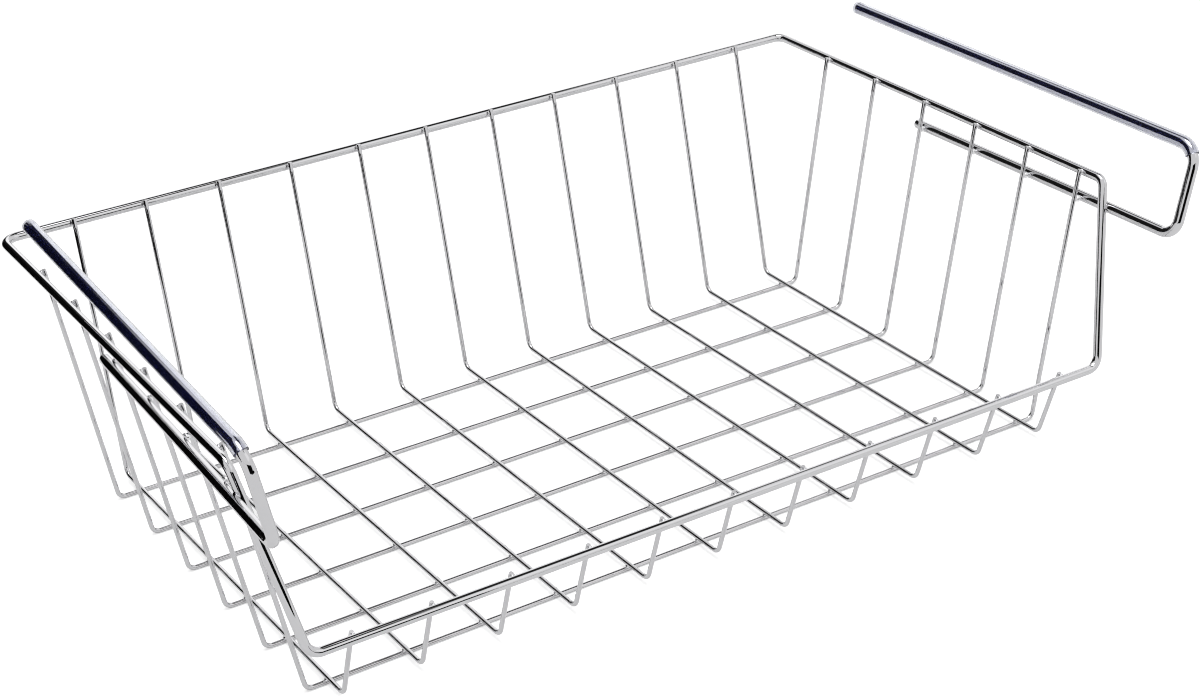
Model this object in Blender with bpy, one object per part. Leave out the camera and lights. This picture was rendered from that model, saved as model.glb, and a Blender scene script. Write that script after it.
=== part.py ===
"""Under shelf basket: a chromed wire basket that hangs from a shelf board by two sleeved arms.

Metres, +Z up. X runs across the basket and Y from its low front (negative) to its back. The origin
is under the middle of the whole object, on the surface that the basket stands on when put down.

Every piece is a round wire or a tube, so each one is a path of straight runs and round bends with a
many-sided profile swept along it. The size across the profile's flats is the wire's diameter.
"""

import math

import bpy
import numpy as np

for leftover in list(bpy.data.objects):
    bpy.data.objects.remove(leftover)

# Wire diameters
GRID_WIRE = 0.0019
RIM_WIRE = 0.0037
ARM_WIRE = 0.0044

# Clearances: between wires that are welded to each other, and between an arm and its sleeve
WELD_GAP = 0.0003
SLEEVE_GAP = 0.0002

# The grid: depth wires run front to back on top of the cross wires, which run side to side
DEPTH_WIRES = 11
DEPTH_PITCH = 0.0325
CROSS_WIRES = 6
CROSS_PITCH = 0.0334
FLOOR_END_SIDE = 0.0087
FLOOR_END_BACK = 0.0127
FLOOR_END_FRONT = 0.0135
DEPTH_BEND = 0.0042
CROSS_BEND = 0.0056
TIP_RISE = 0.0018

# The rim: a closed loop, high at the back and sides and low at the front
RIM_HEIGHT = 0.1072
FRONT_RAIL_HEIGHT = 0.0339
BACK_LEAN = 0.0266
FRONT_LEAN = 0.0138
SIDE_LEAN_BACK = 0.0199
SIDE_LEAN_FRONT = 0.0245
FRONT_RAIL_LEAN = 0.0094
RIM_CORNER_AHEAD = 0.0085
RIM_BEND = 0.0070
FRONT_RAIL_BEND = 0.0060

# The arms: a lower leg welded outside the grid, a riser in front, and an upper leg over the shelf
ARM_FIRST_CROSS_WIRE = 3
ARM_TAIL = 0.0048
ARM_STAND_OFF = 0.0010
ARM_DROP = 0.0112
ARM_REACH = 0.0207
ARM_MOUTH = 0.0362
ARM_SPLAY = 0.0078
ARM_RAKE = 0.0020
ARM_LENGTH = 0.2073
ARM_TOE_IN = 0.0090
ARM_TIP_LIFT = 0.0019
ARM_BEND = 0.0082
JOGGLE_BEND = 0.0140

# The vinyl sleeves on the upper legs
SLEEVE_WALL = 0.0004
SLEEVE_OVERHANG = 0.0006
SLEEVE_BEND_SHARE = 0.4

# Facets: sides of a swept profile, and steps round one bend
GRID_SIDES = 8
STOUT_SIDES = 12
BEND_STEPS = 5
ARM_BEND_STEPS = 7
SMOOTH_ANGLE = math.radians(50)

# Colours of the materials
CHROME_COLOUR = (0.80, 0.81, 0.83, 1.0)
CHROME_ROUGHNESS = 0.10
VINYL_COLOUR = (0.58, 0.64, 0.86, 1.0)
VINYL_ROUGHNESS = 0.25

X_AXIS = np.array([1.0, 0.0, 0.0])
Y_AXIS = np.array([0.0, 1.0, 0.0])


def unit(vector):
    """The vector at length one."""
    return vector / np.linalg.norm(vector)


def bend_points(corner, before, after, radius, steps):
    """An arc that rounds the corner between two directions, from tangent point to tangent point."""
    turn = math.acos(float(np.clip(before @ after, -1.0, 1.0)))
    start = corner - before * radius * math.tan(turn / 2)
    inward = unit(after - before * math.cos(turn))
    angles = np.linspace(0.0, turn, steps + 1)[:, None]
    return start + radius * (np.sin(angles) * before + (1 - np.cos(angles)) * inward)


def rounded_path(corners, radii, steps, closed=False):
    """Points along a run of straight lines whose corners are rounded, one radius for each corner."""
    corners = np.array(corners, float)
    count = len(corners)
    bends = range(count) if closed else range(1, count - 1)
    pieces = []
    for index, radius in zip(bends, radii):
        before = unit(corners[index] - corners[index - 1])
        after = unit(corners[(index + 1) % count] - corners[index])
        pieces.append(bend_points(corners[index], before, after, radius, steps))
    if not closed:
        pieces = [corners[:1], *pieces, corners[-1:]]
    return np.concatenate(pieces)


def profile_rings(path, across_flats, sides, side_vector, closed):
    """The swept profile at each point of the path, as an array of rings of corner points.

    side_vector is square to one flat on the first run. It turns with the path and never twists about
    it, and each ring lies in the plane that halves the angle between the runs that meet there.
    """
    ahead = np.roll(path, -1, axis=0) - path
    if not closed:
        ahead[-1] = ahead[-2]
    ahead = ahead / np.linalg.norm(ahead, axis=1, keepdims=True)
    behind = np.roll(ahead, 1, axis=0)
    if not closed:
        behind[0] = ahead[0]
    radius = across_flats / 2 / math.cos(math.pi / sides)
    angles = (np.arange(sides) + 0.5) * 2 * math.pi / sides
    across = unit(side_vector - (side_vector @ ahead[0]) * ahead[0])
    rings = []
    for point, back, on in zip(path, behind, ahead):
        if rings:
            across = across - (across @ on) / (1 + back @ on) * (back + on)
        up = np.cross(on, across)
        ring = radius * (np.outer(np.cos(angles), across) + np.outer(np.sin(angles), up))
        halving = back + on
        rings.append(point + ring - np.outer(ring @ halving / (on @ halving), on))
    return np.array(rings)


def side_faces(rows, sides, first, closed):
    """Quads between neighbouring rings, facing outward, whose corners are numbered from first."""
    faces = []
    for row in range(rows if closed else rows - 1):
        near = first + row * sides
        far = first + (row + 1) % rows * sides
        for step in range(sides):
            on = (step + 1) % sides
            faces.append((near + step, near + on, far + on, far + step))
    return faces


def end_ring_faces(outer, inner, sides):
    """Quads that close one end of a tube, facing along the sweep."""
    faces = []
    for step in range(sides):
        on = (step + 1) % sides
        faces.append((outer + step, outer + on, inner + on, inner + step))
    return faces


def mesh_from(name, points, faces):
    """A mesh with smooth sides and sharp ends."""
    mesh = bpy.data.meshes.new(name)
    mesh.from_pydata(points.reshape(-1, 3).tolist(), [], faces)
    mesh.shade_smooth()
    mesh.set_sharp_from_angle(angle=SMOOTH_ANGLE)
    return mesh


def wire_mesh(name, path, diameter, sides, side_vector, closed=False):
    """A solid wire along the path, with square-cut ends unless it is a closed loop."""
    rings = profile_rings(path, diameter, sides, side_vector, closed)
    rows = len(rings)
    faces = side_faces(rows, sides, 0, closed)
    if not closed:
        last = (rows - 1) * sides
        faces.append(tuple(range(sides - 1, -1, -1)))
        faces.append(tuple(range(last, last + sides)))
    return mesh_from(name, rings, faces)


def tube_mesh(name, path, bore, wall, sides, side_vector):
    """An open tube along the path."""
    outer = profile_rings(path, bore + 2 * wall, sides, side_vector, False)
    inner = profile_rings(path, bore, sides, side_vector, False)
    rows = len(path)
    start = rows * sides
    faces = side_faces(rows, sides, 0, False)
    faces += [face[::-1] for face in side_faces(rows, sides, start, False)]
    faces += [face[::-1] for face in end_ring_faces(0, start, sides)]
    faces += end_ring_faces(start - sides, 2 * start - sides, sides)
    return mesh_from(name, np.concatenate([outer, inner]), faces)


def principled(name, colour, roughness, metallic):
    """A material that has only a colour, a roughness and a metallic value."""
    material = bpy.data.materials.new(name)
    material.use_nodes = True
    shader = material.node_tree.nodes["Principled BSDF"]
    shader.inputs["Base Color"].default_value = colour
    shader.inputs["Roughness"].default_value = roughness
    shader.inputs["Metallic"].default_value = metallic
    material.diffuse_color = colour
    return material


def place(name, mesh, material, location=(0.0, 0.0, 0.0)):
    """An object of the mesh. The first object that uses a mesh gives it its material."""
    if not mesh.materials:
        mesh.materials.append(material)
    piece = bpy.data.objects.new(name, mesh)
    piece.location = location
    bpy.context.scene.collection.objects.link(piece)
    return piece


# Distances forward of the back rail's axis
back_corner = BACK_LEAN
cross_wire_at = back_corner + FLOOR_END_BACK + CROSS_PITCH * np.arange(CROSS_WIRES)
last_cross_wire = float(cross_wire_at[-1])
front_corner = last_cross_wire + FLOOR_END_FRONT
front_rail = front_corner + FRONT_LEAN
rim_corner = last_cross_wire + RIM_CORNER_AHEAD
riser_foot = front_rail + ARM_REACH
riser_top = riser_foot + ARM_RAKE
overall_depth = riser_top + (ARM_WIRE + RIM_WIRE) / 2

# Heights of axes
cross_height = GRID_WIRE / 2
depth_height = cross_height + GRID_WIRE + WELD_GAP
lower_leg_height = RIM_HEIGHT - ARM_DROP

# Half widths
floor_half = DEPTH_PITCH * (DEPTH_WIRES - 1) / 2 + FLOOR_END_SIDE
rim_back_half = floor_half + SIDE_LEAN_BACK
rim_front_half = floor_half + SIDE_LEAN_FRONT
front_rail_half = floor_half + FRONT_RAIL_LEAN

# Distances between the axes of wires that are welded side by side
grid_to_rim = (GRID_WIRE + RIM_WIRE) / 2 + WELD_GAP
grid_to_arm = (GRID_WIRE + ARM_WIRE) / 2 + WELD_GAP
rim_to_arm = (RIM_WIRE + ARM_WIRE) / 2 + WELD_GAP


def depth_y(forward):
    """The Y coordinate at a distance forward of the back rail's axis."""
    return overall_depth / 2 - RIM_WIRE / 2 - forward


def rail_half(forward):
    """Half the distance between the side rails, which open towards the front."""
    share = forward / rim_corner
    return rim_back_half + (rim_front_half - rim_back_half) * share


def leaning_tip(corner, rail, spacing, side):
    """Where a wire that leans from its floor corner past a rail ends, in the plane of the wire.

    The wire's axis is tangent to a circle of the given spacing round the rail's axis, on the side
    that side (1 or -1, counterclockwise or clockwise) picks, and ends TIP_RISE past the rail.
    """
    reach = np.array(rail, float) - np.array(corner, float)
    distance = float(np.linalg.norm(reach))
    turn = side * math.asin(spacing / distance)
    cosine, sine = math.cos(turn), math.sin(turn)
    along = unit(np.array([cosine * reach[0] - sine * reach[1], sine * reach[0] + cosine * reach[1]]))
    return corner + along * (math.sqrt(distance**2 - spacing**2) + TIP_RISE)


def depth_wire_path():
    """Inside of the back rail, down the back, along the floor and up behind the front rail."""
    back_floor = np.array([depth_y(back_corner), depth_height])
    front_floor = np.array([depth_y(front_corner), depth_height])
    back_tip = leaning_tip(back_floor, (depth_y(0.0), RIM_HEIGHT), grid_to_rim, 1)
    front_tip = leaning_tip(front_floor, (depth_y(front_rail), FRONT_RAIL_HEIGHT), grid_to_rim, -1)
    corners = [(0.0, *point) for point in (back_tip, back_floor, front_floor, front_tip)]
    return rounded_path(corners, (DEPTH_BEND, DEPTH_BEND), BEND_STEPS)


def cross_wire_tip(forward):
    """The end of a cross wire's right leg, as X and Z."""
    return leaning_tip(
        np.array([floor_half, cross_height]), (rail_half(forward), RIM_HEIGHT), grid_to_rim, 1
    )


def cross_wire_path(forward):
    """A U: inside of the left rail, down, across under the depth wires, and up to the right rail."""
    tip = cross_wire_tip(forward)
    y = depth_y(forward)
    corners = [
        (-tip[0], y, tip[1]),
        (-floor_half, y, cross_height),
        (floor_half, y, cross_height),
        (tip[0], y, tip[1]),
    ]
    return rounded_path(corners, (CROSS_BEND, CROSS_BEND), BEND_STEPS)


def rim_path():
    """The closed loop: back rail, right rail, right post, front rail, left post and left rail."""
    right = [
        (rim_back_half, depth_y(0.0), RIM_HEIGHT),
        (rim_front_half, depth_y(rim_corner), RIM_HEIGHT),
        (front_rail_half, depth_y(front_rail), FRONT_RAIL_HEIGHT),
    ]
    left = [(-x, y, z) for x, y, z in right[::-1]]
    radii = (RIM_BEND, RIM_BEND, FRONT_RAIL_BEND)
    return rounded_path(right + left, radii + radii[::-1], BEND_STEPS, closed=True)


def lower_leg_beside(forward):
    """X of a lower leg that lies against the outside of a cross wire's leg."""
    tip = cross_wire_tip(forward)
    lean = unit(tip - np.array([floor_half, cross_height]))
    axis_x = floor_half + (lower_leg_height - cross_height) * lean[0] / lean[1]
    return axis_x + grid_to_arm / lean[1]


def lower_leg_past_post():
    """X of a lower leg that passes outside the rim's front post, and how far forward that is."""
    share = (RIM_HEIGHT - lower_leg_height) / (RIM_HEIGHT - FRONT_RAIL_HEIGHT)
    post_x = rim_front_half + (front_rail_half - rim_front_half) * share
    inward = rim_front_half - front_rail_half
    drop = RIM_HEIGHT - FRONT_RAIL_HEIGHT
    forward = rim_corner + (front_rail - rim_corner) * share
    return post_x + rim_to_arm * math.hypot(inward, drop) / drop, forward


def arm_corners():
    """Sharp corners of the right arm's axis, from the lower leg's tip to the upper leg's end."""
    first = float(cross_wire_at[ARM_FIRST_CROSS_WIRE - 1])
    inner_back = lower_leg_beside(first)
    inner_front = lower_leg_beside(last_cross_wire) + ARM_STAND_OFF
    flare = (inner_front - inner_back) / (last_cross_wire - first)
    outer, post = lower_leg_past_post()
    turn = math.atan2(outer - inner_front, post - last_cross_wire)
    joggle_end = post - JOGGLE_BEND * math.tan(turn / 2)
    leg_z = lower_leg_height
    top = np.array([outer + ARM_SPLAY, depth_y(riser_top), leg_z + ARM_MOUTH])
    return [
        (inner_back - flare * ARM_TAIL, depth_y(first - ARM_TAIL), leg_z),
        (inner_front, depth_y(last_cross_wire), leg_z),
        (outer, depth_y(joggle_end), leg_z),
        (outer, depth_y(riser_foot), leg_z),
        top,
        top + (-ARM_TOE_IN, ARM_LENGTH, ARM_TIP_LIFT),
    ]


def mirrored(points, side):
    """The points as they are for side 1, or on the other side of the object for side -1."""
    return np.array(points) * (side, 1.0, 1.0)


def arm_path(side):
    """One arm's axis. Side 1 is the right arm, and side -1 is the left one."""
    radii = (JOGGLE_BEND, JOGGLE_BEND, ARM_BEND, ARM_BEND)
    return rounded_path(mirrored(arm_corners(), side), radii, ARM_BEND_STEPS)


def sleeve_path(side):
    """The stretch of an arm's axis that its sleeve covers, from inside the front bend to the end."""
    foot, bend, end = mirrored(arm_corners()[-3:], side)
    before, after = unit(bend - foot), unit(end - bend)
    arc = bend_points(bend, before, after, ARM_BEND, ARM_BEND_STEPS)
    skipped = round(ARM_BEND_STEPS * (1 - SLEEVE_BEND_SHARE))
    return np.concatenate([arc[skipped:], [end + after * SLEEVE_OVERHANG]])


def add_grid():
    """The depth wires, which are all alike, and the cross wires, which widen towards the front."""
    depth_mesh = wire_mesh("depth_wire", depth_wire_path(), GRID_WIRE, GRID_SIDES, X_AXIS)
    depth_chrome = principled("depth_wire_chrome", CHROME_COLOUR, CHROME_ROUGHNESS, 1.0)
    for number in range(DEPTH_WIRES):
        x = (number - (DEPTH_WIRES - 1) / 2) * DEPTH_PITCH
        place(f"depth_wire_{number + 1:02d}", depth_mesh, depth_chrome, (x, 0.0, 0.0))
    cross_chrome = principled("cross_wire_chrome", CHROME_COLOUR, CHROME_ROUGHNESS, 1.0)
    for number, forward in enumerate(cross_wire_at):
        name = f"cross_wire_{number + 1}"
        mesh = wire_mesh(name, cross_wire_path(float(forward)), GRID_WIRE, GRID_SIDES, Y_AXIS)
        place(name, mesh, cross_chrome)


def add_rim():
    """The thick loop that the grid is welded into."""
    chrome = principled("rim_chrome", CHROME_COLOUR, CHROME_ROUGHNESS, 1.0)
    mesh = wire_mesh("rim_frame", rim_path(), RIM_WIRE, STOUT_SIDES, X_AXIS, closed=True)
    place("rim_frame", mesh, chrome)


def add_arm(word, side):
    """One hanging arm and the vinyl sleeve on its upper leg."""
    chrome = principled(f"{word}_arm_chrome", CHROME_COLOUR, CHROME_ROUGHNESS, 1.0)
    vinyl = principled(f"{word}_sleeve_vinyl", VINYL_COLOUR, VINYL_ROUGHNESS, 0.0)
    arm = f"{word}_hanging_arm"
    place(arm, wire_mesh(arm, arm_path(side), ARM_WIRE, STOUT_SIDES, X_AXIS), chrome)
    sleeve = f"{word}_arm_sleeve"
    bore = ARM_WIRE + 2 * SLEEVE_GAP
    mesh = tube_mesh(sleeve, sleeve_path(side), bore, SLEEVE_WALL, STOUT_SIDES, X_AXIS)
    place(sleeve, mesh, vinyl)


add_rim()
add_grid()
add_arm("left", -1)
add_arm("right", 1)
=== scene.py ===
"""Looks of the under shelf basket: chromed wires, clear vinyl sleeves, welds, floor, light and camera."""

import math

import bpy
import numpy as np
from mathutils import Euler, Matrix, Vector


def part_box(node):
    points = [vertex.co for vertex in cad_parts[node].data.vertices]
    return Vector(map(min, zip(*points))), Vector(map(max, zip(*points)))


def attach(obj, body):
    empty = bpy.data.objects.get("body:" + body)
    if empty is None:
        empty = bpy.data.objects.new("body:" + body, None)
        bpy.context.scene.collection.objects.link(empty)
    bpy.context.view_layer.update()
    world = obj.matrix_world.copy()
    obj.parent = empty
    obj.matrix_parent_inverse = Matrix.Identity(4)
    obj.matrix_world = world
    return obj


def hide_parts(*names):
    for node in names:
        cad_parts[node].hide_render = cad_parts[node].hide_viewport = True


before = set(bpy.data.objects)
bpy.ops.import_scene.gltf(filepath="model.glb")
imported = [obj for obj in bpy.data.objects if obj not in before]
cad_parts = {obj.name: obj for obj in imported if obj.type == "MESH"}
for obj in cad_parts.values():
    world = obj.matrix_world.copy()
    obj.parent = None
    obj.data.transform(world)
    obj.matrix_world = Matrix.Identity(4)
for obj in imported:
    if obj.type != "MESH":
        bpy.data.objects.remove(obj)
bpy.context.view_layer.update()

# The rim is one length of 3.7 mm steel wire. It is bent into a closed loop, high at the back and sides and
# low at the front, and its ends are butt-welded in the middle of the front rail. The whole basket is then
# plated with bright nickel and chrome: a mirror with a faint drawn grain and a few soft, hazy patches.
RIM_WIRE = 0.0037
RIM_BENDS = (0.0042, 0.0040, 0.0060, 0.0060, 0.0055, 0.0070)
RIM_HALF_AT_BACK = 0.1911
RIM_HALF_AT_FRONT = 0.1957
FRONT_RAIL_HALF = 0.1806
RIM_CORNER_Y = -0.086475
LEFT_CORNER_Y = -0.0885
BUTT_WELD_X = 0.006
BUTT_WELD_SWELL = 0.00016
BUTT_WELD_LENGTH = 0.0016
STOUT_SIDES = 28
RING_STEP = 0.006
BEND_STEPS = 14
SHARP_EDGE = math.radians(40)
SHEARED_LENGTH = 0.12
SHEARED_RADIUS = 0.90
CUT_END_UV = -1.0


def unit(vectors):
    """Each vector divided by its own length."""
    return vectors / np.linalg.norm(vectors, axis=-1, keepdims=True)


def lengths_along(path):
    """The length of a path from its start to each of its points."""
    return np.append(0.0, np.cumsum(np.linalg.norm(np.diff(path, axis=0), axis=1)))


def bent_path(corners, radii, closed=False, bend_steps=BEND_STEPS):
    """Points along straight runs joined by round bends, with a point every RING_STEP or less.

    A bend of radius r that turns by t starts r tan(t / 2) before its corner. Its point at angle a is the
    start, plus r sin a along the run before it, plus r (1 - cos a) across it, towards the inside.
    """
    corners = np.array(corners, float)
    turning = range(len(corners)) if closed else range(1, len(corners) - 1)
    pieces = [] if closed else [corners[:1]]
    for index, radius in zip(turning, radii):
        before = unit(corners[index] - corners[index - 1])
        after = unit(corners[(index + 1) % len(corners)] - corners[index])
        turn = math.acos(before @ after)
        start = corners[index] - before * radius * math.tan(turn / 2)
        inward = unit(after - before * (before @ after))
        angle = np.linspace(0.0, turn, bend_steps + 1)[:, None]
        pieces.append(start + radius * (np.sin(angle) * before + (1 - np.cos(angle)) * inward))
    pieces.append(pieces[0][:1] if closed else corners[-1:])
    points = np.concatenate(pieces)
    apart = np.linalg.norm(np.diff(points, axis=0), axis=1)
    steps = np.maximum(1, np.ceil(apart / RING_STEP)).astype(int)
    share = np.concatenate([index + np.arange(count) / count for index, count in enumerate(steps)])
    if not closed:
        share = np.append(share, len(points) - 1)
    known = np.arange(len(points))
    return np.stack([np.interp(share, known, points[:, axis]) for axis in range(3)], axis=1)


def frame_along(path, facing, closed=False):
    """At each point of a path, the way ahead and two ways square to it, the first nearest to facing."""
    if closed:
        ahead = unit(np.roll(path, -1, axis=0) - np.roll(path, 1, axis=0))
    else:
        ahead = unit(np.gradient(path, axis=0))
    across = unit(facing - (facing * ahead).sum(1, keepdims=True) * ahead)
    return ahead, across, np.cross(ahead, across)


def rings_round(path, radius, sides, facing, closed=False):
    """A circle round each point: at angle a it lies radius (cos a across + sin a up) from the path."""
    ahead, across, up = frame_along(path, facing, closed)
    angle = np.arange(sides) * 2 * math.pi / sides
    spokes = np.cos(angle)[:, None] * across[:, None, :] + np.sin(angle)[:, None] * up[:, None, :]
    return path[:, None, :] + np.broadcast_to(radius, len(path))[:, None, None] * spokes


def quads_between(rows, sides, closed):
    """Corner numbers of the quads between neighbouring rings, as an array of four columns."""
    row = np.arange(rows if closed else rows - 1)[:, None]
    near, far = row * sides, (row + 1) % rows * sides
    step, on = np.arange(sides), (np.arange(sides) + 1) % sides
    return np.stack([near + step, near + on, far + on, far + step], axis=-1).reshape(-1, 4)


def wire_map(rows, sides, length, closed):
    """UV of each quad's corners: metres along the wire, and turns round it."""
    along = np.append(length, length[-1] + (length[-1] - length[-2])) if closed else length
    near = np.repeat(along[: rows if closed else rows - 1], sides)
    far = np.repeat(along[1:], sides)
    turn = np.tile(np.arange(sides) / sides, len(near) // sides)
    on = turn + 1 / sides
    return np.stack([near, turn, near, on, far, on, far, turn], axis=1).reshape(-1, 2)


def add_piece(name, points, faces, material, nodes=(), uv=None):
    """A smooth-shaded piece of the basket, at the origin, that stands for the solids given.

    Faces past the end of uv, which are a wire's cut ends, get CUT_END_UV.
    """
    mesh = bpy.data.meshes.new(name)
    mesh.from_pydata(points.reshape(-1, 3).tolist(), [], faces)
    if uv is not None:
        layer = mesh.uv_layers.new(name="Wire")
        values = np.full((len(mesh.loops), 2), CUT_END_UV)
        values[: len(uv)] = uv
        layer.data.foreach_set("uv", values.astype(np.float32).ravel())
    mesh.materials.append(material)
    mesh.shade_smooth()
    mesh.set_sharp_from_angle(angle=SHARP_EDGE)
    piece = bpy.data.objects.new(name, mesh)
    bpy.context.scene.collection.objects.link(piece)
    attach(piece, "root")
    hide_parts(*nodes)
    return piece


def add_wire(name, nodes, path, diameter, sides, facing, material, closed=False, swell=0.0):
    """A round wire along the path. Its cut ends are flat, with an edge that the shears have drawn in.

    swell is added to the radius at each point of the path, so it is one number or one for each point.
    """
    radius = diameter / 2 + np.broadcast_to(swell, len(path))
    if not closed:
        inset = SHEARED_LENGTH * diameter
        first, last = unit(path[1] - path[0]), unit(path[-1] - path[-2])
        ends = path[0] + inset * first, path[-1] - inset * last
        path = np.concatenate([path[:1], ends[:1], path[1:-1], ends[1:], path[-1:]])
        drawn_in = SHEARED_RADIUS * radius
        radius = np.concatenate([drawn_in[:1], radius, drawn_in[-1:]])
    rings = rings_round(path, radius, sides, facing, closed)
    rows = len(rings)
    faces = quads_between(rows, sides, closed).tolist()
    uv = wire_map(rows, sides, lengths_along(path), closed)
    if not closed:
        last = (rows - 1) * sides
        faces += [list(range(sides - 1, -1, -1)), list(range(last, last + sides))]
    return add_piece(name, rings, faces, material, nodes, uv)


class Shade:
    """One output socket of a shader node. Sums and products with it add Math nodes to its tree."""

    def __init__(self, tree, made=None, output=0):
        self.tree, self.made = tree, made
        self.socket = made.outputs[output] if made and made.outputs else None

    def node(self, kind, settings=None, inputs=None, output=0):
        """A node of that kind, with its settings made first and then its sockets filled or linked."""
        made = self.tree.nodes.new("ShaderNode" + kind)
        for name, value in (settings or {}).items():
            setattr(made, name, value)
        for key, value in (inputs or {}).items():
            if isinstance(value, Shade):
                self.tree.links.new(value.socket, made.inputs[key])
            else:
                made.inputs[key].default_value = value
        return Shade(self.tree, made, output)

    def take(self, output):
        """Another output of the same node."""
        return Shade(self.tree, self.made, output)

    def math(self, operation, *values):
        """A Math node with that operation and those values."""
        return self.node("Math", {"operation": operation}, dict(enumerate(values)))

    def __add__(self, other):
        return self.math("ADD", self, other)

    def __sub__(self, other):
        return self.math("SUBTRACT", self, other)

    def __rsub__(self, other):
        return self.math("SUBTRACT", other, self)

    def __mul__(self, other):
        return self.math("MULTIPLY", self, other)

    __radd__, __rmul__ = __add__, __mul__

    def step(self, low, high):
        """0 below low, 1 above high, and a soft step between them."""
        settings = {"interpolation_type": "SMOOTHSTEP"}
        return self.node("MapRange", settings, {"Value": self, "From Min": low, "From Max": high})

    def band(self, low, high, soft):
        """1 between low and high and 0 outside, with edges that are soft on both sides by that much."""
        return self.step(low - soft, low + soft) * (1 - self.step(high - soft, high + soft))


def new_material(name):
    """An empty node material, and a Shade of its tree to build on."""
    material = bpy.data.materials.new(name)
    material.use_nodes = True
    material.node_tree.nodes.clear()
    start = Shade(material.node_tree)
    return material, start


CHROME_COLOUR = (0.705, 0.703, 0.718, 1.0)
CHROME_ROUGHNESS = 0.02
HAZE_ROUGHNESS = 0.03
HAZE_SCALE = 60.0
HAZE_EDGE = (0.45, 0.75)
SPECK_ROUGHNESS = 0.08
SPECK_SCALE = 900.0
SPECK_EDGE = (0.72, 0.78)
CUT_END_ROUGHNESS = 0.40
CUT_END_EDGE = (-0.6, -0.4)
GRAIN_ALONG = 55.0
GRAIN_ROUND = 2.5
GRAIN_BUMP = 0.05
BUMP_HEIGHT = 0.0002


def chrome(name, grain_shift):
    """Bright plated wire: a mirror whose roughness drifts, with a faint grain drawn along the wire.

    The grain's noise is read on a circle, at the turn's cosine and sine, so that it closes round the wire.
    The cut ends are as rough as the shears left them. They are where the map's first value is below zero.
    """
    material, start = new_material(name)
    uv = start.node("UVMap", {"uv_map": "Wire"})
    parts = start.node("SeparateXYZ", inputs={0: uv})
    turn = parts.take(1) * (2 * math.pi)
    where = start.node("CombineXYZ", inputs={
        0: parts * GRAIN_ALONG + grain_shift,
        1: turn.math("COSINE", turn) * GRAIN_ROUND,
        2: turn.math("SINE", turn) * GRAIN_ROUND,
    })
    grain = start.node("TexNoise", inputs={"Vector": where, "Scale": 1.0, "Detail": 3.0, "Roughness": 0.6})
    place = start.node("TexCoord", output="Object")
    haze = start.node("TexNoise", inputs={"Vector": place, "Scale": HAZE_SCALE, "Detail": 2.0})
    specks = start.node("TexNoise", inputs={"Vector": place, "Scale": SPECK_SCALE, "Detail": 1.0})
    roughness = CHROME_ROUGHNESS + haze.step(*HAZE_EDGE) * HAZE_ROUGHNESS
    roughness = roughness + specks.step(*SPECK_EDGE) * SPECK_ROUGHNESS
    roughness = roughness + (1 - parts.step(*CUT_END_EDGE)) * CUT_END_ROUGHNESS
    bump = start.node("Bump", inputs={"Strength": GRAIN_BUMP, "Distance": BUMP_HEIGHT, "Height": grain})
    skin = start.node("BsdfPrincipled", inputs={
        "Base Color": CHROME_COLOUR, "Metallic": 1.0, "Roughness": roughness, "Normal": bump,
    })
    start.node("OutputMaterial", inputs={0: skin})
    return material


rim_low, rim_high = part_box("rim_frame")
BACK_RAIL_Y, RIM_Z = rim_high.y - RIM_WIRE / 2, rim_high.z - RIM_WIRE / 2
FRONT_RAIL_Y, FRONT_RAIL_Z = rim_low.y + RIM_WIRE / 2, rim_low.z + RIM_WIRE / 2
rim_corners = [
    (RIM_HALF_AT_BACK, BACK_RAIL_Y, RIM_Z),
    (RIM_HALF_AT_FRONT, RIM_CORNER_Y, RIM_Z),
    (FRONT_RAIL_HALF, FRONT_RAIL_Y, FRONT_RAIL_Z),
    (-FRONT_RAIL_HALF, FRONT_RAIL_Y, FRONT_RAIL_Z),
    (-RIM_HALF_AT_FRONT, LEFT_CORNER_Y, RIM_Z),
    (-RIM_HALF_AT_BACK, BACK_RAIL_Y, RIM_Z),
]
rim_path = bent_path(rim_corners, RIM_BENDS, closed=True)
from_butt_weld = np.hypot(rim_path[:, 0] - BUTT_WELD_X, rim_path[:, 1] - FRONT_RAIL_Y)
butt_weld = BUTT_WELD_SWELL * np.exp(-((from_butt_weld / BUTT_WELD_LENGTH) ** 2))
add_wire(
    "rim_loop", ["rim_frame"], rim_path, RIM_WIRE, STOUT_SIDES, rim_path - rim_path.mean(0),
    chrome("rim_chrome_finish", 0.0), closed=True, swell=butt_weld,
)

# The depth wires are eleven equal lengths of 1.9 mm steel wire, lying on top of the cross wires. Each comes
# down inside the back rail, turns forward along the floor, and turns up behind the front rail. Their tips are
# sheared off just past the rails.
GRID_WIRE = 0.0019
WELD_GAP = 0.0003
DEPTH_WIRES = 11
DEPTH_PITCH = 0.0325
DEPTH_BEND = 0.0042
BACK_CORNER_Y = 0.101725
FRONT_CORNER_Y = -0.091475
BACK_RISE, FRONT_RISE = 0.0018, 0.0007
THIN_SIDES = 18
# How far right of its even place each wire's back tip, back corner and front corner lie.
DEPTH_DRIFT = 0.001 * np.array([
    (0.9, 0.4, -0.3), (-0.7, -0.7, -0.9), (-0.5, -0.9, -0.8), (-0.35, -0.9, -0.45),
    (-0.4, -0.95, -0.45), (-0.45, -0.95, -0.3), (-0.25, -0.7, -0.25), (-0.65, -0.95, -0.2),
    (-0.1, -0.75, -0.2), (0.0, -0.55, -0.2), (0.8, 0.4, 0.0),
])
CROSS_Z = GRID_WIRE / 2
DEPTH_Z = CROSS_Z + GRID_WIRE + WELD_GAP
GRID_TO_RIM = (GRID_WIRE + RIM_WIRE) / 2 + WELD_GAP
THIN_GRAIN_SHIFT = 7.0


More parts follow.
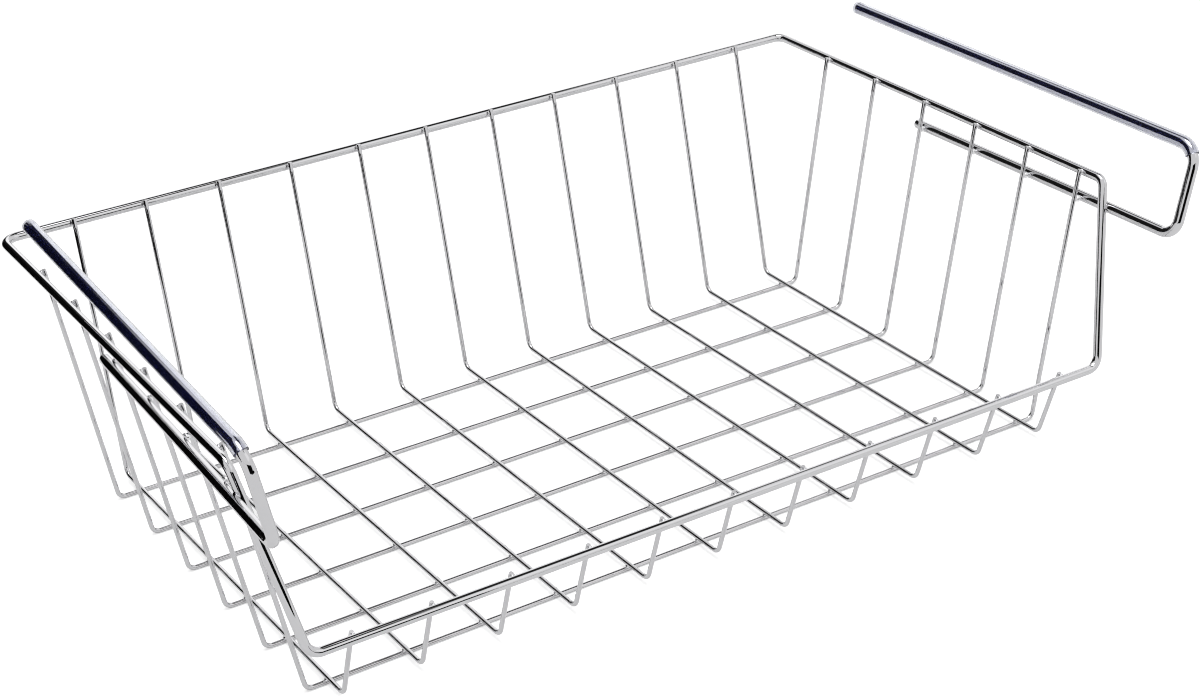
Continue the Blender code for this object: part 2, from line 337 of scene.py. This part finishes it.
def tip_past_rail(corner, rail, side, rise):
    """End of a wire that leans from its floor corner past a rail, in the plane of the wire.

    Its axis is the tangent to a circle of radius GRID_TO_RIM round the rail's axis. So it turns from the
    straight line to the rail by asin(radius / distance), and it touches at sqrt(distance² - radius²). The
    tip stands that far past the rail, plus rise.
    """
    corner, rail = np.array(corner), np.array(rail)
    distance = np.linalg.norm(rail - corner)
    turn = side * math.asin(GRID_TO_RIM / distance)
    cosine, sine = math.cos(turn), math.sin(turn)
    along = np.array([[cosine, -sine], [sine, cosine]]) @ unit(rail - corner)
    return corner + along * (math.sqrt(distance**2 - GRID_TO_RIM**2) + rise)


thin_chrome = chrome("thin_wire_chrome_finish", THIN_GRAIN_SHIFT)
back_tip = tip_past_rail((BACK_CORNER_Y, DEPTH_Z), (BACK_RAIL_Y, RIM_Z), 1, BACK_RISE)
front_tip = tip_past_rail((FRONT_CORNER_Y, DEPTH_Z), (FRONT_RAIL_Y, FRONT_RAIL_Z), -1, FRONT_RISE)
depth_x = DEPTH_PITCH * (np.arange(DEPTH_WIRES) - (DEPTH_WIRES - 1) / 2)
depth_places = depth_x[:, None] + DEPTH_DRIFT
for number, (tip_x, back_x, front_x) in enumerate(depth_places, 1):
    depth_corners = [
        (tip_x, *back_tip),
        (back_x, BACK_CORNER_Y, DEPTH_Z),
        (front_x, FRONT_CORNER_Y, DEPTH_Z),
        (front_x, *front_tip),
    ]
    add_wire(
        f"front_to_back_wire_{number:02d}", [f"depth_wire_{number:02d}"],
        bent_path(depth_corners, (DEPTH_BEND, DEPTH_BEND)), GRID_WIRE,
        THIN_SIDES, np.array([[1.0, 0.0, 0.0]]), thin_chrome,
    )

# The cross wires are six lengths of the same thin wire, each bent into a shallow U. They carry the depth
# wires, and their legs lean outward to the insides of the side rails, which open a little towards the front.
CROSS_WIRES = 6
CROSS_PITCH = 0.0334
FIRST_CROSS_Y = 0.089025
FLOOR_HALF = 0.1712
CROSS_BEND = 0.0034
SIDE_RISE = 0.0010
# How far behind its even place each wire's left tip, left corner, middle, right corner and right tip lie.
CROSS_DRIFT = 0.001 * np.array([
    (0.0, 0.3, 0.45, 0.3, 0.35), (0.4, -0.1, 0.0, -0.5, -0.5), (0.0, -0.8, 0.0, -0.8, -1.0),
    (0.0, -0.5, 0.2, -0.9, -0.95), (0.6, -0.7, -0.2, -0.9, -0.1), (0.0, -0.3, 0.3, 0.3, 2.0),
])
cross_y = FIRST_CROSS_Y - CROSS_PITCH * np.arange(CROSS_WIRES)


def rail_half(y):
    """Half the distance between the side rails' axes at y, on a straight line from corner to corner."""
    return np.interp(y, (RIM_CORNER_Y, BACK_RAIL_Y), (RIM_HALF_AT_FRONT, RIM_HALF_AT_BACK))


def drift_back(row, x, z):
    """How far behind its even place a cross wire lies at x and z, from its row of CROSS_DRIFT.

    It is interpolated along the wire. The place along the wire is x plus the height z, with the sign of x.
    """
    knots = (-FLOOR_HALF - RIM_Z, -FLOOR_HALF, 0.0, FLOOR_HALF, FLOOR_HALF + RIM_Z)
    return np.interp(x + np.sign(x) * z, knots, row)


for number, (y, row) in enumerate(zip(cross_y, CROSS_DRIFT), 1):
    tip_x, tip_z = tip_past_rail((FLOOR_HALF, CROSS_Z), (rail_half(y), RIM_Z), 1, SIDE_RISE)
    cross_corners = [
        (-tip_x, y, tip_z), (-FLOOR_HALF, y, CROSS_Z), (FLOOR_HALF, y, CROSS_Z), (tip_x, y, tip_z),
    ]
    path = bent_path(cross_corners, (CROSS_BEND, CROSS_BEND))
    path[:, 1] += drift_back(row, path[:, 0], path[:, 2])
    add_wire(
        f"side_to_side_wire_{number}", [f"cross_wire_{number}"], path, GRID_WIRE,
        THIN_SIDES, np.array([[0.0, 1.0, 0.0]]), thin_chrome,
    )

# The hanging arms are the stoutest wire, 4.4 mm. A lower leg is welded outside the last four cross wires and
# the front post. In front of the basket it turns up into a short riser, and then back into the long upper
# leg, which lies on the shelf board.
ARM_WIRE = 0.0044
SIDES = {"left": -1.0, "right": 1.0}
LEG_BOW = 2.0
TOP_BEND = 0.0082
STOUT_BEND_STEPS = 24
STOUT_GRAIN_SHIFT = 19.0
ARM_BENDS = {"left": (LEG_BOW, 0.0066, TOP_BEND), "right": (LEG_BOW, 0.0072, TOP_BEND)}
# From the lower leg's tail, by its middle, its foot and the riser's top, to the upper leg's end.
ARM_CORNERS = {
    "left": np.array([
        (-0.1917, 0.0270, 0.0968), (-0.1945, -0.0495, 0.0956), (-0.1973, -0.1260, 0.0932),
        (-0.2056, -0.127975, 0.1322), (-0.1966, 0.0746, 0.1341),
    ]),
    "right": np.array([
        (0.1917, 0.0270, 0.0960), (0.1945, -0.0495, 0.0961), (0.1973, -0.1270, 0.0960),
        (0.2056, -0.1277, 0.1322), (0.1976, 0.0777, 0.1341),
    ]),
}
stout_chrome = chrome("stout_wire_chrome_finish", STOUT_GRAIN_SHIFT)
for word, side in SIDES.items():
    path = bent_path(ARM_CORNERS[word], ARM_BENDS[word], bend_steps=STOUT_BEND_STEPS)
    add_wire(
        f"{word}_arm_wire", [f"{word}_hanging_arm"], path, ARM_WIRE,
        STOUT_SIDES, np.array([[side, 0.0, 0.0]]), stout_chrome,
    )

# The sleeves are clear vinyl tube with a faint blue tint, pushed on over the upper legs from behind until
# they reach into the front bends. They cling to the wire, and their cut ends are a little rounded.
SLEEVE_OUTSIDE = 0.0056
SLEEVE_SLACK = 0.00006
SLEEVE_BORE = ARM_WIRE + SLEEVE_SLACK
SLEEVE_OVERHANG = 0.0006
BEND_COVERED = {"left": 0.40, "right": 0.58}
LIP_STEPS = 8
SAME_POINT = 1e-6
VINYL_CLEAR = (0.93, 0.94, 0.985, 1.0)
VINYL_TINT = (0.07, 0.08, 0.45, 1.0)
VINYL_SCATTER = 0.03
VINYL_IOR = 1.5
VINYL_ROUGHNESS = 0.02
WAX_ROUGHNESS = 0.04
WAX_SCALE = 45.0
WAX_EDGE = (0.4, 0.7)
RIPPLE_SCALE = 260.0
RIPPLE_BUMP = 0.06


def part_of_path(path, start, stop):
    """The points of a path between two lengths along it, with the points at both lengths."""
    length = lengths_along(path)
    inside = length[(length > start + SAME_POINT) & (length < stop - SAME_POINT)]
    wanted = np.concatenate([[start], inside, [stop]])
    return np.stack([np.interp(wanted, length, path[:, axis]) for axis in range(3)], axis=1)


def tube_rings(path, outside, bore, sides, facing):
    """A tube's skin: out along the outside, round the lip, back along the bore, and round the other lip.

    A lip is half a circle as thick as the wall: at angle a it stands (wall / 2) cos a beyond the middle of
    the wall, and (wall / 2) sin a past the end of the path.
    """
    wall = (outside - bore) / 2
    middle = bore / 2 + wall / 2
    ahead, across, up = frame_along(path, facing)
    angle = np.linspace(0.0, math.pi, LIP_STEPS + 1)
    rows = len(path)
    index = np.concatenate([np.arange(rows), np.full(LIP_STEPS - 1, rows - 1), np.arange(rows)[::-1]])
    index = np.concatenate([index, np.zeros(LIP_STEPS - 1, int)])
    out, lip = np.full(rows, wall / 2), wall / 2 * np.cos(angle[1:-1])
    radius = middle + np.concatenate([out, lip, -out, -lip])
    flat, past = np.zeros(rows), wall / 2 * np.sin(angle[1:-1])
    shift = np.concatenate([flat, past, flat, -past])
    turn = np.arange(sides) * 2 * math.pi / sides
    spokes = np.cos(turn)[:, None] * across[index, None] + np.sin(turn)[:, None] * up[index, None]
    return (path[index] + shift[:, None] * ahead[index])[:, None] + radius[:, None, None] * spokes


def clear_vinyl(name):
    """Glossy clear vinyl, tinted by a little blue that is scattered inside it, with a waxy, uneven skin."""
    material, start = new_material(name)
    place = start.node("TexCoord", output="Object")
    wax = start.node("TexNoise", inputs={"Vector": place, "Scale": WAX_SCALE, "Detail": 3.0})
    ripple = start.node("TexNoise", inputs={"Vector": place, "Scale": RIPPLE_SCALE, "Detail": 2.0})
    bump = start.node("Bump", inputs={"Strength": RIPPLE_BUMP, "Distance": BUMP_HEIGHT, "Height": ripple})
    body = start.node("BsdfPrincipled", inputs={
        "Base Color": VINYL_CLEAR, "Transmission Weight": 1.0, "IOR": VINYL_IOR,
        "Roughness": VINYL_ROUGHNESS + WAX_ROUGHNESS * wax.step(*WAX_EDGE), "Normal": bump,
    })
    tint = start.node("BsdfDiffuse", inputs={"Color": VINYL_TINT, "Normal": bump})
    mixed = start.node("MixShader", inputs={0: VINYL_SCATTER, 1: body, 2: tint})
    start.node("OutputMaterial", inputs={0: mixed})
    return material


vinyl = clear_vinyl("sleeve_vinyl_finish")
for word, side in SIDES.items():
    leg_corners = ARM_CORNERS[word][2:].copy()
    leg_way = unit(leg_corners[2] - leg_corners[1])
    leg_corners[2] += leg_way * SLEEVE_OVERHANG
    path = bent_path(leg_corners, (TOP_BEND,), bend_steps=STOUT_BEND_STEPS)
    turn = math.acos(unit(leg_corners[1] - leg_corners[0]) @ leg_way)
    total = np.linalg.norm(np.diff(path, axis=0), axis=1).sum()
    straight = np.linalg.norm(leg_corners[2] - leg_corners[1]) - TOP_BEND * math.tan(turn / 2)
    path = part_of_path(path, total - straight - BEND_COVERED[word] * TOP_BEND * turn, total)
    rings = tube_rings(path, SLEEVE_OUTSIDE, SLEEVE_BORE, STOUT_SIDES, np.array([[side, 0.0, 0.0]]))
    faces = quads_between(len(rings), STOUT_SIDES, closed=True).tolist()
    add_piece(f"{word}_vinyl_sleeve", rings, faces, vinyl, [f"{word}_arm_sleeve"])

# The weld spots are where the wires were pressed together and fused, at every crossing and every tip. Each
# one is a small, uneven bead of squeezed-out metal, plated over with the rest of the basket.
CROSSING_Z = CROSS_Z + (GRID_WIRE + WELD_GAP) / 2
POST_WELD_FORWARD = 0.0012
BEAD_SIDES = 14
BEAD_ROWS = 9
BEAD_LUMP = 0.10
BEAD_WAVES = 2.2
# Half of each kind of bead's length, height and depth.
CROSSING_WELD = (0.00115, 0.00115, 0.00055)
TIP_WELD = (0.0010, 0.0012, 0.0005)
ARM_WELD = (0.0016, 0.0014, 0.0006)
POST_WELD = (0.0028, 0.0017, 0.0009)
CROSSING_SEED, RAIL_SEED, SIDE_SEED, ARM_SEED = 3, 5, 7, 20
# The weld colour is painted paler than the wire's chrome, a painted highlight that makes the beads read
# white, though they are plated like the rest.
PAINTED_HIGHLIGHT_WELD_COLOUR = (0.930, 0.930, 0.945, 1.0)
WELD_ROUGHNESS = 0.14
PIT_ROUGHNESS = 0.20
PIT_SCALE = 1400.0
PIT_EDGE = (0.4, 0.7)
PIT_BUMP = 0.15


def beads(centres, first, second, sizes, seed):
    """Lumpy ellipsoids: centre + size x ball along three square axes, the ball swollen by low sine waves.

    The ball's point at latitude p and longitude q is (cos p cos q, cos p sin q, sin p). The poles are single
    points. The third axis is square to the first two.
    """
    rng = np.random.default_rng(seed)
    count = len(centres)
    first = unit(np.broadcast_to(first, (count, 3)))
    second = np.broadcast_to(second, (count, 3))
    second = unit(second - (second * first).sum(1, keepdims=True) * first)
    axes = np.stack([first, second, np.cross(first, second)], axis=1) * np.array(sizes)[:, None]
    latitude = np.linspace(-math.pi / 2, math.pi / 2, BEAD_ROWS + 2)[1:-1, None]
    longitude = np.arange(BEAD_SIDES) * 2 * math.pi / BEAD_SIDES
    ball = np.stack(np.broadcast_arrays(
        np.cos(latitude) * np.cos(longitude), np.cos(latitude) * np.sin(longitude), np.sin(latitude),
    ), axis=-1).reshape(-1, 3)
    ball = np.concatenate([ball, [[0, 0, -1], [0, 0, 1]]])
    waves = rng.normal(0.0, BEAD_WAVES, (count, 3, 3))
    phase = rng.uniform(0.0, 2 * math.pi, (count, 3, 1))
    swell = 1 + BEAD_LUMP * np.sin(waves @ ball.T + phase).mean(1)
    points = centres[:, None] + (ball * swell[..., None]) @ axes
    ring = quads_between(BEAD_ROWS, BEAD_SIDES, closed=False)
    step, on = np.arange(BEAD_SIDES), (np.arange(BEAD_SIDES) + 1) % BEAD_SIDES
    top = (BEAD_ROWS - 1) * BEAD_SIDES
    low_pole, high_pole = BEAD_ROWS * BEAD_SIDES, BEAD_ROWS * BEAD_SIDES + 1
    low_fan = np.stack([on, step, np.full(BEAD_SIDES, low_pole)], axis=1)
    high_fan = np.stack([top + step, top + on, np.full(BEAD_SIDES, high_pole)], axis=1)
    offsets = np.arange(count) * len(ball)
    faces = []
    for part in (ring, low_fan, high_fan):
        faces += (part[None] + offsets[:, None, None]).reshape(-1, part.shape[1]).tolist()
    return points.reshape(-1, 3), faces


def plated_weld(name):
    """Plated weld metal, softer than the wire because it froze with a rippled, pitted skin. Its colour is
    painted paler than the wire's chrome: a painted highlight that makes the beads read white.
    """
    material, start = new_material(name)
    place = start.node("TexCoord", output="Object")
    pits = start.node("TexNoise", inputs={"Vector": place, "Scale": PIT_SCALE, "Detail": 2.0})
    bump = start.node("Bump", inputs={"Strength": PIT_BUMP, "Distance": BUMP_HEIGHT, "Height": pits})
    roughness = WELD_ROUGHNESS + PIT_ROUGHNESS * pits.step(*PIT_EDGE)
    skin = start.node("BsdfPrincipled", inputs={
        "Base Color": PAINTED_HIGHLIGHT_WELD_COLOUR, "Metallic": 1.0, "Roughness": roughness, "Normal": bump,
    })
    start.node("OutputMaterial", inputs={0: skin})
    return material


def fused_at(rail, wire):
    """The point between a rail's axis and a wire's where their skins meet, half a gap outside the rail."""
    return rail + unit(wire - rail) * (RIM_WIRE + WELD_GAP) / 2


def add_beads(name, centres, first, second, sizes, seed):
    """One piece made of all the beads of one kind."""
    points, faces = beads(np.array(centres), np.array(first), np.array(second), sizes, seed)
    return add_piece(name, points, faces, weld_chrome)


weld_chrome = plated_weld("weld_chrome_with_painted_highlight")
crossing_x = np.array([
    np.interp(cross_y, (FRONT_CORNER_Y, BACK_CORNER_Y), (front, back)) for _, back, front in depth_places
]).T
crossing_y = [y + drift_back(row, depth_x, 0.0) for y, row in zip(cross_y, CROSS_DRIFT)]
crossing = np.stack([crossing_x, crossing_y, np.full(crossing_x.shape, CROSSING_Z)], axis=-1)
add_beads(
    "floor_grid_welds", crossing.reshape(-1, 3), (1, 0, 0), (0, 1, 0),
    CROSSING_WELD, CROSSING_SEED,
)
for word, column, corner, tip, rise, rail in (
    ("back", 0, (BACK_CORNER_Y, DEPTH_Z), back_tip, BACK_RISE, (BACK_RAIL_Y, RIM_Z)),
    ("front", 2, (FRONT_CORNER_Y, DEPTH_Z), front_tip, FRONT_RISE, (FRONT_RAIL_Y, FRONT_RAIL_Z)),
):
    along = unit(tip - np.array(corner))
    y, z = fused_at(np.array(rail), tip - rise * along)
    centres = np.stack([depth_places[:, column], np.full(DEPTH_WIRES, y), np.full(DEPTH_WIRES, z)], axis=1)
    add_beads(f"{word}_rail_welds", centres, (1, 0, 0), (0, *along), TIP_WELD, RAIL_SEED)
side_centres, side_ways, lean = [], [], []
for y, row in zip(cross_y, CROSS_DRIFT):
    corner, rail = np.array((FLOOR_HALF, CROSS_Z)), np.array((rail_half(y), RIM_Z))
    tip = tip_past_rail(corner, rail, 1, SIDE_RISE)
    along = unit(tip - corner)
    lean.append(along[0] / along[1])
    x, z = fused_at(rail, tip - SIDE_RISE * along)
    side_centres += [(side * x, y + drift_back(row, side * x, z), z) for side in SIDES.values()]
    side_ways += [(side * along[0], 0, along[1]) for side in SIDES.values()]
add_beads("side_rail_welds", side_centres, (0, 1, 0), side_ways, TIP_WELD, SIDE_SEED)
for word, side in SIDES.items():
    leg = ARM_CORNERS[word][2::-1]
    post_top = (RIM_HALF_AT_FRONT, LEFT_CORNER_Y if word == "left" else RIM_CORNER_Y)
    post_foot = (FRONT_RAIL_HALF, FRONT_RAIL_Y)
    post_z = np.interp(post_top[1], leg[:, 1], leg[:, 2])
    post_x, post_y = (
        np.interp(post_z, (FRONT_RAIL_Z, RIM_Z), foot_and_top) for foot_and_top in zip(post_foot, post_top)
    )
    centre = (side * (post_x + RIM_WIRE / 2), post_y - POST_WELD_FORWARD, post_z)
    spots = [(centre, POST_WELD)]
    for y, row, slope in zip(cross_y, CROSS_DRIFT, lean):
        if y < leg[-1, 1]:
            z = np.interp(y, leg[:, 1], leg[:, 2])
            skin = FLOOR_HALF + (z - CROSS_Z) * slope + GRID_WIRE / 2
            gap = abs(np.interp(y, leg[:, 1], leg[:, 0])) - ARM_WIRE / 2 - skin
            centre = (side * (skin + gap / 2), y + drift_back(row, side * skin, z), z)
            spots.append((centre, (*ARM_WELD[:2], ARM_WELD[2] + gap / 2)))
    for number, (centre, sizes) in enumerate(spots, 1):
        add_beads(
            f"{word}_arm_weld_{number}", [centre], (0, 1, 0), (0, 0, 1),
            sizes, ARM_SEED + number,
        )

# The floor is a plain pale board under the basket, far larger than the view. It is lit to plain white, so it
# glows a little to the camera, and only a trace of shadow is left on it.
FLOOR_HALF_SPAN = 20.0
FLOOR_COLOUR = (0.90, 0.90, 0.90, 1.0)
FLOOR_ROUGHNESS = 0.8
FLOOR_GLOW = 0.42
floor_material, start = new_material("pale_floor")
seen = start.node("LightPath")
start.node("OutputMaterial", inputs={0: start.node("BsdfPrincipled", inputs={
    "Base Color": FLOOR_COLOUR, "Roughness": FLOOR_ROUGHNESS, "Emission Color": (1.0, 1.0, 1.0, 1.0),
    "Emission Strength": seen * FLOOR_GLOW,
})})


def add_stage(name, corners, faces, material):
    """A stage piece made of flat faces."""
    mesh = bpy.data.meshes.new(name)
    mesh.from_pydata(corners, [], faces)
    mesh.materials.append(material)
    piece = bpy.data.objects.new(name, mesh)
    bpy.context.scene.collection.objects.link(piece)
    return piece


floor_corners = [
    (x * FLOOR_HALF_SPAN, y * FLOOR_HALF_SPAN, 0.0) for x, y in ((-1, -1), (1, -1), (1, 1), (-1, 1))
]
add_stage("floor", floor_corners, [(0, 1, 2, 3)], floor_material)

# The light is an even white tent. Parts of it are darker or brighter, as the cards and softboxes round a
# product table are, because a bright chrome wire shows nothing but what stands round it.
TENT = 1.0
TENT_SEEN = 1.15
WALL_BLACK = 0.985
STRIP_BLACK = 0.97
SOFTBOX = 0.5
BACK_LIGHT = 0.25
OVERHEAD = 3.0
EDGE_SOFTNESS = 1.1
bpy.context.scene.view_settings.view_transform = "Standard"
bpy.context.scene.cycles.filter_width = EDGE_SOFTNESS
world = bpy.data.worlds.new("studio")
bpy.context.scene.world = world
world.use_nodes = True
world.node_tree.nodes.clear()
start = Shade(world.node_tree)
way = start.node("SeparateXYZ", inputs={0: start.node("TexCoord", output="Generated")})
way_back = way.take(1)
azimuth = way.math("ARCTAN2", way, way_back) * (180 / math.pi)
height = way.math("ARCSINE", way.take(2)) * (180 / math.pi)
# Walls and lamps are placed by azimuth, in degrees from behind the basket towards the right, and height, in
# degrees above the floor. The dark strips overhead are placed by how far the way there leads right and back.
low_wall = azimuth.band(-90, 14, 3) * height.band(-30, 32, 2)
high_wall = azimuth.band(-90, -14, 4) * height.band(30, 50, 2)
top_strip = way.band(0.20, 0.50, 0.03) * way_back.band(0.26, 0.66, 0.04)
middle_strip = way.band(0.37, 0.49, 0.02) * way_back.band(-0.18, 0.34, 0.04)
low_strip = way.band(0.24, 0.38, 0.02) * way_back.band(-0.50, -0.04, 0.03)
left_strip = way.band(0.24, 0.38, 0.02) * way_back.band(0.12, 0.74, 0.03)
narrow_strip = way.band(0.48, 0.60, 0.02) * way_back.band(0.14, 0.46, 0.04)
clear = (1 - top_strip) * (1 - middle_strip) * (1 - low_strip) * (1 - left_strip) * (1 - narrow_strip)
strips = (1 - clear) * height.step(32, 38)
softbox = azimuth.band(17, 44, 2) * height.band(-4, 34, 3)
back_light = azimuth.band(112, 165, 6) * height.band(24, 56, 5)
overhead = height.step(68, 74)
dark = (1 - WALL_BLACK * low_wall) * (1 - WALL_BLACK * high_wall) * (1 - STRIP_BLACK * strips)
light = TENT * dark + SOFTBOX * softbox + BACK_LIGHT * back_light + OVERHEAD * overhead
seen = start.node("LightPath")
strength = seen * TENT_SEEN + (1 - seen) * light
start.node("OutputWorld", inputs={0: start.node("Background", inputs={"Strength": strength})})

# Three black cards give the chrome its dark edges, as photographers do it. One hangs close to the left of the
# basket. One stands far to its left, with a flap on the table, left of the basket and behind it. One lies in
# front of the basket and stands up at its far edge, below the camera. Only reflections see them.
CARD_COLOUR = (0.004, 0.004, 0.004, 1.0)
CARD_LIFT = 0.002
NEAR_CARD_X, NEAR_CARD_LOW, NEAR_CARD_TOP = -0.225, 0.066, 0.20
FAR_CARD_X, FAR_CARD_TOP = -0.90, 0.16
FRONT_CARD_Y, FRONT_CARD_TOP = -0.80, 0.26
card_material, start = new_material("black_card")
start.node("OutputMaterial", inputs={0: start.node("BsdfDiffuse", inputs={"Color": CARD_COLOUR})})
near_card = [
    (NEAR_CARD_X, -0.08, NEAR_CARD_LOW), (NEAR_CARD_X, 0.35, NEAR_CARD_LOW),
    (NEAR_CARD_X, 0.35, NEAR_CARD_TOP), (NEAR_CARD_X, -0.08, NEAR_CARD_TOP),
]
far_card = [
    (FAR_CARD_X, -0.20, CARD_LIFT), (FAR_CARD_X, 1.30, CARD_LIFT),
    (FAR_CARD_X, 1.30, FAR_CARD_TOP), (FAR_CARD_X, -0.20, FAR_CARD_TOP),
    (FAR_CARD_X, 0.50, CARD_LIFT), (-0.12, 0.50, CARD_LIFT), (-0.12, 1.30, CARD_LIFT),
]
front_card = [
    (-0.32, -0.34, CARD_LIFT), (-0.05, -0.42, CARD_LIFT), (0.17, -0.42, CARD_LIFT),
    (0.30, FRONT_CARD_Y, CARD_LIFT), (-0.60, FRONT_CARD_Y, CARD_LIFT), (0.20, FRONT_CARD_Y, CARD_LIFT),
    (0.20, FRONT_CARD_Y, FRONT_CARD_TOP), (-0.60, FRONT_CARD_Y, FRONT_CARD_TOP),
]
for card in (
    add_stage("black_card_close_at_the_left", near_card, [(0, 1, 2, 3)], card_material),
    add_stage("black_card_far_at_the_left", far_card, [(0, 1, 2, 3), (4, 5, 6, 1)], card_material),
    add_stage("black_card_in_front", front_card, [(0, 1, 2, 3, 4), (4, 5, 6, 7)], card_material),
):
    card.visible_camera = card.visible_diffuse = card.visible_shadow = False

# The camera stands in front of the basket, left of it and above it, at the photograph's place and angle.
CAMERA_PLACE = (-0.4781, -0.7827, 0.5211)
CAMERA_AZIMUTH = math.radians(32.841)
CAMERA_ELEVATION = math.radians(-27.001)
CAMERA_ROLL = math.radians(-1.635)
LENS_MILLIMETRES = 76.389
SHIFT_ACROSS, SHIFT_UP = -0.03625, -0.0010
lens = bpy.data.cameras.new("camera")
lens.lens = LENS_MILLIMETRES
lens.shift_x = SHIFT_ACROSS
lens.shift_y = SHIFT_UP
camera = bpy.data.objects.new("camera", lens)
turned = Euler((math.pi / 2 + CAMERA_ELEVATION, 0, -CAMERA_AZIMUTH)).to_matrix()
turned = turned @ Matrix.Rotation(CAMERA_ROLL, 3, "Z")
camera.matrix_world = Matrix.LocRotScale(CAMERA_PLACE, turned, None)
bpy.context.scene.collection.objects.link(camera)
bpy.context.scene.camera = camera
